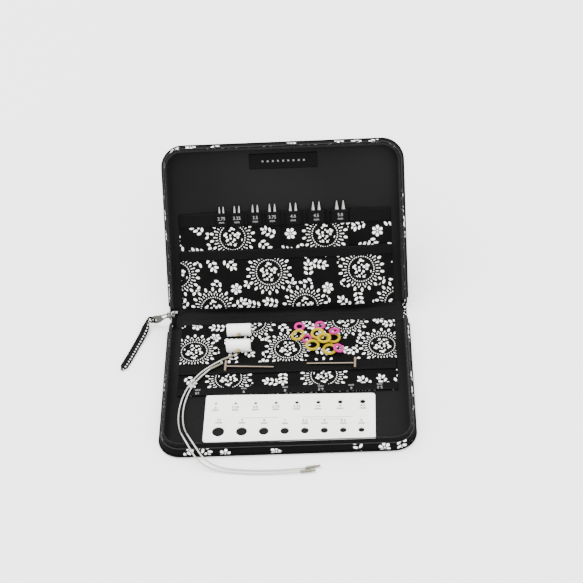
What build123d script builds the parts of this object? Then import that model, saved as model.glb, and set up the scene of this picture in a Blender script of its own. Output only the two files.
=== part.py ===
from build123d import *
import math
import os

# Interchangeable knitting needle set: a zip-around fabric case, opened, with its needle tips,
# cables, gauge, end stoppers, tightening keys and ring markers.
# Frame: origin at the centre of the lower half's underside, +X to the right of a person who
# sits at the open case, +Y away from them towards the lid, +Z up. Millimetres.

# Case
CASE_WIDTH = 205.0
HALF_DEPTH = 141.5
CORNER_RADIUS = 18.0
WALL_HEIGHT = 12.3
WALL_LEAN = 3.2
SPINE_WIDTH = 17.0
FOLD_HEIGHT = 4.0
FOLD_GAP = 0.2
LID_ANGLE = 54.0

# Layers of one half, heights above its underside
COVER_THICKNESS = 1.0
BOARD_BOTTOM = 1.05
BOARD_TOP = 2.35
LINING_BOTTOM = 2.4
LINING_TOP = 3.0
LAYER_GAP = 0.05
PANEL_THICKNESS = 0.7
RIBBON_THICKNESS = 0.45
BOARD_INSET = 3.0
LINING_INSET = 1.9

# Side wall
PIPING_WIDTH = 0.8
PIPING_BOTTOM = 0.3
PIPING_TOP = 1.8
GUSSET_TOP = 8.0
GUSSET_THICKNESS = 1.0
TAPE_BOTTOM = 8.05
TAPE_TOP = 11.2
TAPE_THICKNESS = 0.7
TEETH_BOTTOM = 11.25
TEETH_WIDTH = 1.5
SEAM_WIDTH = 1.2
SEAM_HEIGHT = 1.2

# Pockets: distances from the fold axis, in the plane of each half
POCKET_HALF_WIDTH = 90.5
LOWER_FRONT_POCKET = (0.4, 57.6)
LOWER_BINDING = (46.0, 57.6)
LOWER_BACK_POCKET = (0.4, 80.2)
LOWER_LABEL_BAND = (72.4, 80.2)
UPPER_FRONT_POCKET = (2.0, 52.0)
UPPER_BINDING = (43.8, 52.0)
UPPER_BACK_POCKET = (1.6, 83.5)
UPPER_LABEL_BAND = (71.9, 83.5)
CHANNEL_WALL = 0.6

# Needle tips: one pair of each size
TIP_SIZES = [2.75, 3.25, 3.5, 3.75, 4.0, 4.5, 5.0]
TIP_CENTRES = [-53.6, -40.4, -24.7, -10.1, 7.7, 27.4, 47.8]
TIP_LENGTH = 87.5
TIP_SEAT = 2.0
TIP_SEAT_STEP = 0.3
TIP_TAPER = 14.0
TIP_END_RADIUS = 0.45
TIP_GAP = 0.6
THREAD_BORE_RADIUS = 0.95
THREAD_BORE_DEPTH = 8.0
TIP_TUBE_WALL = 0.45

# Needle gauge
GAUGE_WIDTH = 138.0
GAUGE_DEPTH = 49.5
GAUGE_THICKNESS = 1.0
GAUGE_CORNER = 2.5
GAUGE_CENTRE = (1.9, -36.4)
GAUGE_TURN = -1.3
GAUGE_SMALL_HOLES = [2.0, 2.25, 2.5, 2.75, 3.25, 3.5, 4.0, 4.5]
GAUGE_LARGE_HOLES = [10.0, 9.0, 8.0, 7.0, 6.5, 6.0, 5.5, 5.0]
GAUGE_SMALL_START = 8.4
GAUGE_SMALL_WEB = 14.0
GAUGE_SMALL_ROW = 15.9
GAUGE_LARGE_START = 11.9
GAUGE_LARGE_WEB = 9.35
GAUGE_LARGE_ROW = -13.9

# End stoppers
STOPPER_LENGTH = 20.0
STOPPER_RADIUS = 5.3
STOPPER_EDGE = 0.5
STOPPER_X = -41.2
STOPPER_BACK_Y = 57.6
STOPPER_FRONT_Y = 39.6
BOSS_RADIUS = 1.75
BOSS_LENGTH = 3.4
BOSS_BORE_DEPTH = 3.0

# Tightening keys
KEY_HEAD_RADIUS = 1.2
KEY_HEAD_LENGTH = 11.2
KEY_ROD_RADIUS = 0.6
KEY_ROD_LENGTH = 40.0
KEY_LEFT_HEAD = (-51.6, 19.8)
KEY_RIGHT_HEAD = (55.9, 18.7)
KEY_LEFT_HEADING = -2.9
KEY_RIGHT_HEADING = 177.5

# Ring markers: (x, y, height of the ring's centre above its own rest, lean, heading of the lean)
YELLOW_RADIUS = 4.7
YELLOW_WIRE = 1.4
PINK_RADIUS = 3.5
PINK_WIRE = 1.25
YELLOW_RINGS = [
    (8.6, 51.4, 1.7, 14.0, 180.0),
    (25.4, 52.0, 1.9, 0.0, 0.0),
    (20.8, 39.4, 1.5, 0.0, 0.0),
    (38.4, 48.4, 0.0, 0.0, 0.0),
    (35.0, 35.4, 0.0, 0.0, 0.0),
    (30.6, 43.6, 5.2, 6.0, 90.0),
]
PINK_RINGS = [
    (9.8, 62.8, 0.0, 0.0, 0.0),
    (27.2, 63.4, 0.0, 0.0, 0.0),
    (39.4, 53.4, 3.0, 18.0, 100.0),
    (16.0, 48.6, 0.0, 0.0, 0.0),
    (42.6, 34.6, 1.9, 22.0, 0.0),
]

# Zip slider, puller and wrist strap
SLIDER_Y = 75.5
SLIDER_LENGTH = 8.0
SLIDER_BOTTOM = 9.5
SLIDER_TOP = 14.5
SLIDER_PLATE = 1.0
SLIDER_MOUTH = 2.7
ARCH_LENGTH = 6.0
ARCH_REACH = 2.6
ARCH_BAR = 0.9
ZIP_TAIL = 8.5
PULLER_LENGTH = 16.2
PULLER_THICKNESS = 0.9
NECK_RADIUS = 1.8
SLOT_RADIUS = 1.15
PULLER_HEAD = 8.6
PULLER_TURN = 174.0
PULLER_DROOP = 29.0
EYE_INSET = 3.1
EYE_RADIUS = 1.7
LOOP_RADIUS = 3.0
LOOP_WIRE = 0.9
STRAP_WIDTH = 6.4
STRAP_THICKNESS = 1.6

# Cables
CABLE_RADIUS = 0.65
FERRULE_RADIUS = 1.1
STUD_RADIUS = 0.8
STUD_LENGTH = 3.4
CABLE_A_NEAR_END = (-45.0, 32.4, 5.8)
CABLE_A_ROUTE = [
    (-55.3, 27.0, 6.0),
    (-67.5, 19.0, 6.0),
    (-79.0, 5.5, 5.5),
    (-86.3, -11.5, 4.9),
    (-88.8, -31.0, 4.7),
    (-86.5, -49.0, 8.0),
    (-82.5, -62.0, 16.3),
    (-77.0, -73.0, 16.3),
    (-70.0, -80.5, 5.0),
    (-57.0, -86.5, 0.8),
    (-35.0, -90.0, 0.75),
    (-9.0, -91.3, 0.75),
    (10.5, -90.2, 1.2),
]
CABLE_A_FAR_END = (22.4, -89.2, 1.2)
CABLE_B_NEAR_END = (-54.3, 23.2, 6.3)
CABLE_B_ROUTE = [
    (-64.6, 17.0, 6.3),
    (-74.6, 7.2, 5.6),
    (-81.2, -6.0, 4.9),
    (-84.8, -22.0, 4.7),
    (-84.6, -38.0, 5.0),
    (-81.5, -52.0, 9.3),
    (-77.8, -62.5, 16.3),
    (-72.3, -72.8, 16.3),
    (-64.8, -79.2, 5.0),
    (-52.5, -84.0, 0.8),
    (-31.5, -87.0, 0.75),
    (-6.0, -88.0, 0.75),
    (14.5, -86.6, 1.2),
]
CABLE_B_FAR_END = (26.2, -84.6, 1.2)

# Places worked out from the above
LOWER_FOLD_Y = HALF_DEPTH / 2
LID_FOLD_Y = LOWER_FOLD_Y + SPINE_WIDTH
POCKET_FLOOR = LINING_TOP + LAYER_GAP
LOWER_POCKET_TOP = POCKET_FLOOR + 2 * (PANEL_THICKNESS + LAYER_GAP)
BINDING_TOP = LOWER_POCKET_TOP + RIBBON_THICKNESS
TEETH_INSET = WALL_LEAN
TEETH_X = -(CASE_WIDTH / 2 - TEETH_INSET - TEETH_WIDTH / 2)

# The lid's pocket swells over the needle tips: (x, height) of its underside
TIP_SWELL = [
    (-POCKET_HALF_WIDTH, POCKET_FLOOR),
    (-66.0, 6.2),
    (58.0, 8.9),
    (POCKET_HALF_WIDTH, POCKET_FLOOR),
]
FLAT_FLOOR = [
    (-POCKET_HALF_WIDTH, POCKET_FLOOR),
    (POCKET_HALF_WIDTH, POCKET_FLOOR),
]

nodes = {}


def lower_place():
    """Turns a half drawn with its fold edge at the origin into the lower half."""
    return Location((0, LOWER_FOLD_Y, 0), (0, 0, 180))


def lid_place():
    """Turns a half drawn with its fold edge at the origin into the lid, at its open angle."""
    fold = Location((0, LID_FOLD_Y, FOLD_HEIGHT), (LID_ANGLE, 0, 0))
    return fold * Location((0, 0, -FOLD_HEIGHT))


def outline(inset, height):
    """The outline of a half, set in all round, as a face at the given height."""
    reach = HALF_DEPTH - inset
    width = CASE_WIDTH - 2 * inset
    behind = 3 * CORNER_RADIUS
    face = RectangleRounded(width, reach + behind, CORNER_RADIUS - inset)
    return Location((0, (reach - behind) / 2, height)) * face


def beyond_fold(shape, start):
    """What is left of a shape past a distance from the fold."""
    keep = Box(2 * CASE_WIDTH, 2 * HALF_DEPTH, 4 * WALL_HEIGHT)
    return shape & (Location((0, start + HALF_DEPTH, 0)) * keep)


def sheet(inset, bottom, top, start=FOLD_GAP):
    """A flat layer of a half."""
    return beyond_fold(extrude(outline(inset, bottom), top - bottom), start)


def lean(height):
    """How far the wall has leaned inward at a height."""
    return WALL_LEAN * height / WALL_HEIGHT


def wall(inset, thickness, bottom, top, start=FOLD_GAP):
    """A leaning strip that runs round the three free sides of a half."""
    over = 0.5
    outer = loft([outline(inset + lean(bottom), bottom), outline(inset + lean(top), top)])
    low = outline(inset + thickness + lean(bottom - over), bottom - over)
    high = outline(inset + thickness + lean(top + over), top + over)
    return beyond_fold(outer - loft([low, high]), start)


def piping():
    """The corded edge strip, upright, round the outside of the cover."""
    height = PIPING_TOP - PIPING_BOTTOM
    outer = extrude(outline(-PIPING_WIDTH - LAYER_GAP, PIPING_BOTTOM), height)
    return beyond_fold(outer - extrude(outline(-LAYER_GAP, PIPING_BOTTOM), height), FOLD_GAP)


def draped_panel(floor, lift, thickness, start, end):
    """A panel that follows a floor line across the case, from one distance to another."""
    low = [(x, z + lift) for x, z in floor]
    high = [(x, z + lift + thickness) for x, z in reversed(floor)]
    section = Plane.XZ * make_face(Polyline(*low, *high, close=True).edges())
    return Location((0, start, 0)) * extrude(section, -(end - start))


def swell_at(x):
    """The height of the lid pocket's underside at a place across the case."""
    for (x0, z0), (x1, z1) in zip(TIP_SWELL, TIP_SWELL[1:]):
        if x0 <= x <= x1:
            return z0 + (z1 - z0) * (x - x0) / (x1 - x0)
    return POCKET_FLOOR


def rod_between(start, end, radius):
    """A round rod from one point to another."""
    axis = Vector(*end) - Vector(*start)
    return Plane(origin=start, z_dir=axis) * extrude(Circle(radius), axis.length)


def case_half(name, place, floor, front, binding, back, band):
    """The sewn pieces of one half of the case."""
    lift = PANEL_THICKNESS + LAYER_GAP
    pieces = {
        "cover": sheet(0, 0, COVER_THICKNESS),
        "piping": piping(),
        "gusset": wall(0, GUSSET_THICKNESS, COVER_THICKNESS + LAYER_GAP, GUSSET_TOP),
        "zip_tape": wall(0.15, TAPE_THICKNESS, TAPE_BOTTOM, TAPE_TOP),
        "zip_teeth": wall(TEETH_INSET - lean(WALL_HEIGHT), TEETH_WIDTH, TEETH_BOTTOM, WALL_HEIGHT),
        "stiffener": sheet(BOARD_INSET, BOARD_BOTTOM, BOARD_TOP, 1.0),
        "lining": sheet(LINING_INSET, LINING_BOTTOM, LINING_TOP),
        "lining_seam": wall(LINING_INSET, SEAM_WIDTH, POCKET_FLOOR, POCKET_FLOOR + SEAM_HEIGHT),
        "channel_pocket": draped_panel(floor, 0, PANEL_THICKNESS, *back),
        "front_pocket": draped_panel(floor, lift, PANEL_THICKNESS, *front),
        "label_band": draped_panel(floor, lift, RIBBON_THICKNESS, *band),
        "pocket_binding": draped_panel(floor, 2 * lift, RIBBON_THICKNESS, *binding),
    }
    for piece, shape in pieces.items():
        nodes[f"{name}_{piece}"] = place * shape


def zip_tail(width, bottom, top):
    """The end of the zip, which runs on past the lower half's fold to the parked slider."""
    length = ZIP_TAIL + FOLD_GAP + 1.0
    centre = Location((TEETH_X, LOWER_FOLD_Y - 1.0 + length / 2, (bottom + top) / 2))
    return centre * Box(width, length, top - bottom)


def channel_walls():
    """The seams that part the lid's back pocket into one channel for each pair of tips."""
    edges = [TIP_CENTRES[0] - 8.0]
    edges += [(a + b) / 2 for a, b in zip(TIP_CENTRES, TIP_CENTRES[1:])]
    edges += [TIP_CENTRES[-1] + 9.0]
    start, end = UPPER_BACK_POCKET
    walls = []
    for x in edges:
        height = swell_at(x) - POCKET_FLOOR
        centre = Location((x, (start + end) / 2, POCKET_FLOOR + height / 2))
        walls.append(centre * Box(CHANNEL_WALL, end - start, height + 2 * LAYER_GAP))
    return walls


def needle_tip(size):
    """One pointed tip, lying along +Y from its threaded end at the origin."""
    r = size / 2
    shoulder = TIP_LENGTH - TIP_TAPER
    with BuildPart() as tip:
        with BuildSketch(Plane.XY):
            with BuildLine():
                Polyline((0, 0), (r - 0.15, 0), (r, 0.3), (r, shoulder))
                Spline(
                    (r, shoulder),
                    (0.72 * r, shoulder + 0.55 * TIP_TAPER),
                    (TIP_END_RADIUS, TIP_LENGTH - TIP_END_RADIUS),
                    tangents=[(0, 1), (-0.18, 1)],
                )
                Line((TIP_END_RADIUS, TIP_LENGTH - TIP_END_RADIUS), (0, TIP_LENGTH))
                Line((0, TIP_LENGTH), (0, 0))
            make_face()
        revolve(axis=Axis.Y)
    bore = rod_between((0, -1, 0), (0, THREAD_BORE_DEPTH, 0), THREAD_BORE_RADIUS)
    hollow_radius = max(r - TIP_TUBE_WALL, 0.9)
    hollow = rod_between((0, THREAD_BORE_DEPTH - 0.5, 0), (0, shoulder, 0), hollow_radius)
    return tip.part - bore - hollow


def needle_gauge():
    """The flat gauge card with its two rows of sizing holes."""
    card = extrude(RectangleRounded(GAUGE_WIDTH, GAUGE_DEPTH, GAUGE_CORNER), GAUGE_THICKNESS)
    rows = [
        (GAUGE_SMALL_HOLES, GAUGE_SMALL_START, GAUGE_SMALL_WEB, GAUGE_SMALL_ROW),
        (GAUGE_LARGE_HOLES, GAUGE_LARGE_START, GAUGE_LARGE_WEB, GAUGE_LARGE_ROW),
    ]
    for sizes, start, web, row in rows:
        x = start - GAUGE_WIDTH / 2
        for i, size in enumerate(sizes):
            card -= Location((x, row, GAUGE_THICKNESS / 2)) * Cylinder(size / 2, 3 * GAUGE_THICKNESS)
            if i + 1 < len(sizes):
                x += (size + sizes[i + 1]) / 2 + web
    x, y = GAUGE_CENTRE
    return Location((x, y, POCKET_FLOOR), (0, 0, GAUGE_TURN)) * card


def stopper(name, y):
    """An end stopper: a plastic bar with a threaded metal boss in the middle of its side."""
    z = LOWER_POCKET_TOP + STOPPER_RADIUS + LAYER_GAP
    bar = Cylinder(STOPPER_RADIUS, STOPPER_LENGTH)
    bar = fillet(bar.edges().filter_by(GeomType.CIRCLE), STOPPER_EDGE)
    bar = Location((STOPPER_X, y, z), (0, 90, 0)) * bar
    face = y - STOPPER_RADIUS
    root = (STOPPER_X, face + 1.6, z)
    end = (STOPPER_X, face - BOSS_LENGTH, z)
    seat = rod_between((STOPPER_X, face + 1.6, z), (STOPPER_X, face - 2.0, z), BOSS_RADIUS + 0.02)
    bore_end = (STOPPER_X, face - BOSS_LENGTH + BOSS_BORE_DEPTH, z)
    boss = rod_between(root, end, BOSS_RADIUS)
    boss -= rod_between((STOPPER_X, face - BOSS_LENGTH - 1, z), bore_end, THREAD_BORE_RADIUS)
    nodes[f"{name}_bar"] = bar - seat
    nodes[f"{name}_boss"] = boss


def tightening_key(head, heading):
    """A T-shaped key: a short handle with a thin rod that rests its end on the fabric."""
    x, y = head
    handle_z = BINDING_TOP + KEY_HEAD_RADIUS + LAYER_GAP
    rod_z = BINDING_TOP + KEY_ROD_RADIUS + LAYER_GAP
    droop = math.degrees(math.atan2(handle_z - rod_z, KEY_ROD_LENGTH))
    handle = Location((0, 0, 0), (90, 0, 0)) * Cylinder(KEY_HEAD_RADIUS, KEY_HEAD_LENGTH)
    rod = rod_between((0, 0, 0), (KEY_ROD_LENGTH, 0, 0), KEY_ROD_RADIUS)
    key = handle + Location((0, 0, 0), (0, droop, 0)) * rod
    return Location((x, y, handle_z), (0, 0, heading)) * key


def ring_markers(rings, radius, wire):
    """Loose ring markers, each leaning on what is under it."""
    shapes = []
    for x, y, lift, tilt, heading in rings:
        place = Location((x, y, LOWER_POCKET_TOP + wire + LAYER_GAP + lift), (0, 0, heading))
        shapes.append(place * Location((0, 0, 0), (0, tilt, 0)) * Torus(radius, wire))
    return Compound(children=shapes)


def zip_slider():
    """The slider: two plates astride the teeth, a divider, and an arch for the puller."""
    height = SLIDER_TOP - SLIDER_BOTTOM
    middle = (SLIDER_TOP + SLIDER_BOTTOM) / 2
    out = SLIDER_MOUTH / 2 + SLIDER_PLATE / 2
    plate = Box(SLIDER_PLATE, SLIDER_LENGTH, height)
    plate = fillet(plate.edges().filter_by(Axis.X), 1.2)
    plates = [Location((side * out, 0, 0)) * plate for side in (-1, 1)]
    divider_height = SLIDER_TOP - WALL_HEIGHT - 0.4
    divider_z = (SLIDER_TOP + WALL_HEIGHT + 0.2) / 2 - middle
    divider_y = -SLIDER_LENGTH / 2 + 1.4
    divider = Location((0, divider_y, divider_z)) * Box(SLIDER_MOUTH + 0.4, 1.8, divider_height)
    face = -SLIDER_MOUTH / 2 - SLIDER_PLATE
    arch_x = face - ARCH_REACH + ARCH_BAR / 2
    bar = Location((arch_x, 0, 0), (90, 0, 0)) * Cylinder(ARCH_BAR / 2, ARCH_LENGTH)
    foot_x = face - ARCH_REACH / 2 + 0.2
    foot = Box(ARCH_REACH, ARCH_BAR, ARCH_BAR)
    foot_y = ARCH_LENGTH / 2 - ARCH_BAR / 2
    feet = [Location((foot_x, side * foot_y, 0)) * foot for side in (-1, 1)]
    slider = plates[0] + plates[1] + divider + bar + feet[0] + feet[1]
    return Location((TEETH_X, SLIDER_Y, middle)) * slider


def puller_pivot():
    """The middle of the slider's arch bar, round which the puller swings."""
    x = TEETH_X - SLIDER_MOUTH / 2 - SLIDER_PLATE - ARCH_REACH + ARCH_BAR / 2
    return (x, SLIDER_Y, (SLIDER_TOP + SLIDER_BOTTOM) / 2)


def zip_puller():
    """The puller: a flat tab that stands on edge, slotted at the arch, with an eye at its end."""
    end = PULLER_LENGTH
    flank = [(0, -NECK_RADIUS), (6.0, -2.9), (10.0, -PULLER_HEAD / 2), (end, -PULLER_HEAD / 2)]
    tab = Polygon(*flank, *[(x, -z) for x, z in reversed(flank)], align=None)
    tab = fillet(tab.vertices().sort_by(Axis.X)[-2:], 2.6) + Circle(NECK_RADIUS)
    slot = Polygon((0, -SLOT_RADIUS), (5.6, -1.9), (5.6, 1.9), (0, SLOT_RADIUS), align=None)
    slot = fillet(slot.vertices().sort_by(Axis.X)[-2:], 0.7) + Circle(SLOT_RADIUS)
    eye = Location((end - EYE_INSET, 0)) * Circle(EYE_RADIUS)
    plate = extrude(Plane.XZ * (tab - slot - eye), PULLER_THICKNESS / 2, both=True)
    return Location(puller_pivot(), (0, -PULLER_DROOP, PULLER_TURN)) * plate


def wrist_strap():
    """The fabric strap: a loop through the puller's eye, and its tail down to the table."""
    turn = math.radians(PULLER_TURN)
    droop = math.radians(PULLER_DROOP)
    along = Vector(math.cos(turn), math.sin(turn), 0)
    side = Vector(-math.sin(turn), math.cos(turn), 0)
    fallen = Vector(math.cos(turn) * math.cos(droop), math.sin(turn), math.cos(turn) * math.sin(droop))
    eye = Vector(*puller_pivot()) + fallen * (PULLER_LENGTH - EYE_INSET)
    ring = Location(tuple(eye + along * LOOP_RADIUS), (0, 0, 270)) * Torus(LOOP_RADIUS, LOOP_WIRE)
    start = eye + along * 1.55 * LOOP_RADIUS + side * 0.76 * LOOP_RADIUS
    rest = STRAP_THICKNESS / 2 + 0.1
    points = [
        start,
        Vector(start.X - 3.0, start.Y - 6.0, 3.1),
        Vector(start.X - 7.8, start.Y - 17.5, rest),
        Vector(start.X - 20.5, start.Y - 52.5, rest),
    ]
    path = FilletPolyline(*points, radius=[4.0, 6.0])
    section = Plane(origin=start, x_dir=(0.9, -0.43, 0), z_dir=points[1] - points[0])
    return ring + sweep(section * Rectangle(STRAP_WIDTH, STRAP_THICKNESS), path=path)


def corner_radii(points):
    """The arc radius at each corner of a cord's route, from its runs and turns."""
    radii = []
    for a, b, c in zip(points, points[1:], points[2:]):
        before = Vector(*b) - Vector(*a)
        after = Vector(*c) - Vector(*b)
        half_turn = math.radians(before.get_angle(after)) / 2
        radii.append(0.45 * min(before.length, after.length) / math.tan(half_turn))
    return radii


def cable(name, near, route, far):
    """A needle cable: the coated wire and a ferrule with a threaded stud at each end."""
    radii = corner_radii(route)
    path = FilletPolyline(*route, radius=radii)
    start = Plane(origin=path @ 0, z_dir=path % 0)
    wire = sweep(start * Circle(CABLE_RADIUS), path=path)
    nodes[name] = wire
    section = math.pi * CABLE_RADIUS**2
    print(name, "length", round(path.length, 1), "volume ratio", round(wire.volume / section / path.length, 4))
    print(name, "radii", [round(r, 1) for r in radii])
    for end_name, wire_end, tip in (("near", route[0], near), ("far", route[-1], far)):
        axis = (Vector(*tip) - Vector(*wire_end)).normalized()
        reach = (Vector(*tip) - Vector(*wire_end)).length - STUD_LENGTH
        shoulder = Vector(*wire_end) + axis * reach
        body = rod_between(Vector(*wire_end) + axis * 0.02, shoulder, FERRULE_RADIUS)
        stud = rod_between(shoulder, Vector(*tip), STUD_RADIUS)
        nodes[f"{name}_{end_name}_ferrule"] = body + stud


# The two halves of the case
case_half("lower", lower_place(), FLAT_FLOOR, LOWER_FRONT_POCKET, LOWER_BINDING,
          LOWER_BACK_POCKET, LOWER_LABEL_BAND)
case_half("upper", lid_place(), TIP_SWELL, UPPER_FRONT_POCKET, UPPER_BINDING,
          UPPER_BACK_POCKET, UPPER_LABEL_BAND)
nodes["lower_zip_tape"] += zip_tail(TAPE_THICKNESS, TAPE_BOTTOM, TAPE_TOP)
nodes["lower_zip_teeth"] += zip_tail(TEETH_WIDTH, TEETH_BOTTOM, WALL_HEIGHT)
for channel_wall in channel_walls():
    nodes["upper_channel_pocket"] += lid_place() * channel_wall

# Woven label on the lid's lining
LABEL_SIZE = (58.0, 13.0)
LABEL_CENTRE = (1.0, 126.5)
label = extrude(Rectangle(*LABEL_SIZE), RIBBON_THICKNESS)
nodes["woven_label"] = lid_place() * Location((*LABEL_CENTRE, POCKET_FLOOR)) * label

# The spine between the two folds
SPINE_HALF_LENGTH = 91.5
for layer, bottom, top, margin in (
    ("cover", 0, COVER_THICKNESS, FOLD_GAP),
    ("stiffener", BOARD_BOTTOM, BOARD_TOP, 1.0),
    ("lining", LINING_BOTTOM, LINING_TOP, FOLD_GAP),
):
    centre = Location((0, LOWER_FOLD_Y + SPINE_WIDTH / 2, (bottom + top) / 2))
    size = (2 * SPINE_HALF_LENGTH, SPINE_WIDTH - 2 * margin, top - bottom)
    nodes[f"spine_{layer}"] = centre * Box(*size)

# Needle tips, in pairs
for i, (size, pair_x) in enumerate(zip(TIP_SIZES, TIP_CENTRES)):
    for side, sign in (("left", -1), ("right", 1)):
        x = pair_x + sign * (size + TIP_GAP) / 2
        seat = Location((x, TIP_SEAT + i * TIP_SEAT_STEP, POCKET_FLOOR + LAYER_GAP + size / 2))
        label_size = str(size).replace(".", "_")
        nodes[f"tip_{label_size}_{side}"] = lid_place() * seat * needle_tip(size)

# Loose tools
nodes["needle_gauge"] = needle_gauge()
stopper("stopper_back", STOPPER_BACK_Y)
stopper("stopper_front", STOPPER_FRONT_Y)
nodes["key_left"] = tightening_key(KEY_LEFT_HEAD, KEY_LEFT_HEADING)
nodes["key_right"] = tightening_key(KEY_RIGHT_HEAD, KEY_RIGHT_HEADING)
nodes["markers_yellow"] = ring_markers(YELLOW_RINGS, YELLOW_RADIUS, YELLOW_WIRE)
nodes["markers_pink"] = ring_markers(PINK_RINGS, PINK_RADIUS, PINK_WIRE)

# Zip slider, puller and strap
nodes["zip_slider"] = zip_slider()
nodes["zip_puller"] = zip_puller()
nodes["wrist_strap"] = wrist_strap()

# Cables
cable("cable_a", CABLE_A_NEAR_END, CABLE_A_ROUTE, CABLE_A_FAR_END)
cable("cable_b", CABLE_B_NEAR_END, CABLE_B_ROUTE, CABLE_B_FAR_END)

os.makedirs("parts", exist_ok=True)
for name, shape in nodes.items():
    export_step(shape, f"parts/{name}.step")
print(len(nodes), "nodes; puller pivot", puller_pivot())
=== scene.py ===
import bmesh
import bpy
import math
from mathutils import Matrix, Vector, noise


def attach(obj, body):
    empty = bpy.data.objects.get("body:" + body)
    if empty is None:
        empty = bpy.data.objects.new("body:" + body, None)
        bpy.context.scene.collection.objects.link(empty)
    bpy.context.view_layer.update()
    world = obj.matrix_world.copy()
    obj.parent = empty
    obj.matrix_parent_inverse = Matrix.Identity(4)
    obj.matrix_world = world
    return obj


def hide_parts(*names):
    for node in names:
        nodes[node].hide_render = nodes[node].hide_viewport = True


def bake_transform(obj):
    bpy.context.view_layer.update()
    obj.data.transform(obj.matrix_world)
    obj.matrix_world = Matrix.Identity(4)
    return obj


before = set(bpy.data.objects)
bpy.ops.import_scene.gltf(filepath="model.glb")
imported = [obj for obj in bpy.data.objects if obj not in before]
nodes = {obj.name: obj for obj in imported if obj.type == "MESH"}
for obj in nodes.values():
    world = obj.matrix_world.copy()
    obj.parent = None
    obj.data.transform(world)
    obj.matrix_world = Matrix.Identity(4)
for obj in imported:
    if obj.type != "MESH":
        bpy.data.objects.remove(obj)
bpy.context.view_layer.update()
MM = 0.001


# Camera. It looks down into the opened case from the front, a little to the right.
CAMERA_PLACE = Vector((61.827, -882.047, 988.780)) * MM
CAMERA_RIGHT = Vector((0.998471, 0.004829, -0.055071))
CAMERA_UP = Vector((0.035590, 0.706126, 0.707191))
CAMERA_LENS = 99.28
camera_data = bpy.data.cameras.new("camera")
camera_data.lens = CAMERA_LENS
camera_data.sensor_width = 36.0
camera_data.clip_end = 20.0
camera = bpy.data.objects.new("camera", camera_data)
camera_back = CAMERA_RIGHT.cross(CAMERA_UP)
camera.matrix_world = Matrix.Translation(CAMERA_PLACE) @ Matrix(
    (CAMERA_RIGHT, CAMERA_UP, camera_back)
).transposed().to_4x4()
bpy.context.scene.collection.objects.link(camera)
bpy.context.scene.camera = camera


# Shader maths. A Dye is one value that changes over a surface; sums of dyes add Math nodes.
class Dye:
    def __init__(self, tree, socket):
        self.tree = tree
        self.socket = socket

    def node(self, kind, settings=(), sockets=(), out=0):
        made = self.tree.nodes.new(kind)
        for key, value in dict(settings).items():
            setattr(made, key, value)
        for key, value in dict(sockets).items():
            if isinstance(value, Dye):
                self.tree.links.new(value.socket, made.inputs[key])
            else:
                made.inputs[key].default_value = value
        return Dye(self.tree, made.outputs[out])

    def maths(self, operation, *values):
        return self.node("ShaderNodeMath", {"operation": operation}, dict(enumerate(values)))

    def __add__(self, other): return self.maths("ADD", self, other)
    def __radd__(self, other): return self.maths("ADD", other, self)
    def __sub__(self, other): return self.maths("SUBTRACT", self, other)
    def __rsub__(self, other): return self.maths("SUBTRACT", other, self)
    def __mul__(self, other): return self.maths("MULTIPLY", self, other)
    def __rmul__(self, other): return self.maths("MULTIPLY", other, self)
    def __truediv__(self, other): return self.maths("DIVIDE", self, other)
    def __lt__(self, other): return self.maths("LESS_THAN", self, other)
    def __gt__(self, other): return self.maths("GREATER_THAN", self, other)

    def rounded(self): return self.maths("ROUND", self)
    def fraction(self): return self.maths("FRACT", self)
    def size(self): return self.maths("ABSOLUTE", self)
    def root(self): return self.maths("SQRT", self)
    def either(self, other): return self.maths("MAXIMUM", self, other)
    def output(self, name): return Dye(self.tree, self.socket.node.outputs[name])

    def mix(self, low, high):
        made = self.tree.nodes.new("ShaderNodeMix")
        made.data_type = "RGBA"
        for index, value in ((0, self), (6, low), (7, high)):
            if isinstance(value, Dye):
                self.tree.links.new(value.socket, made.inputs[index])
            else:
                made.inputs[index].default_value = value
        return Dye(self.tree, made.outputs[2])


def new_finish(name, **constants):
    """A material, its shader node, and dyes of object and UV coordinates."""
    finish = bpy.data.materials.new(name)
    finish.use_nodes = True
    tree = finish.node_tree
    shader = tree.nodes["Principled BSDF"]
    for key, value in constants.items():
        shader.inputs[key.replace("_", " ")].default_value = value
    place = tree.nodes.new("ShaderNodeTexCoord")
    return finish, shader, Dye(tree, place.outputs["Object"]), Dye(tree, place.outputs["UV"])


def feed(shader, dye, socket):
    dye.tree.links.new(dye.socket, shader.inputs[socket])


def relief(shader, height, distance, strength=1.0):
    """A small surface relief from a height dye."""
    bump = height.node("ShaderNodeBump", {}, {"Strength": strength, "Distance": distance, "Height": height})
    feed(shader, bump, "Normal")


def weave_height(place, pitch):
    """Crossing threads of one pitch, on object coordinates."""
    sockets = {"Vector": place, "Scale": 0.3 / pitch}
    warp = place.node("ShaderNodeTexWave", {"bands_direction": "X"}, sockets)
    weft = place.node("ShaderNodeTexWave", {"bands_direction": "Y"}, sockets)
    return warp * weft


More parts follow.
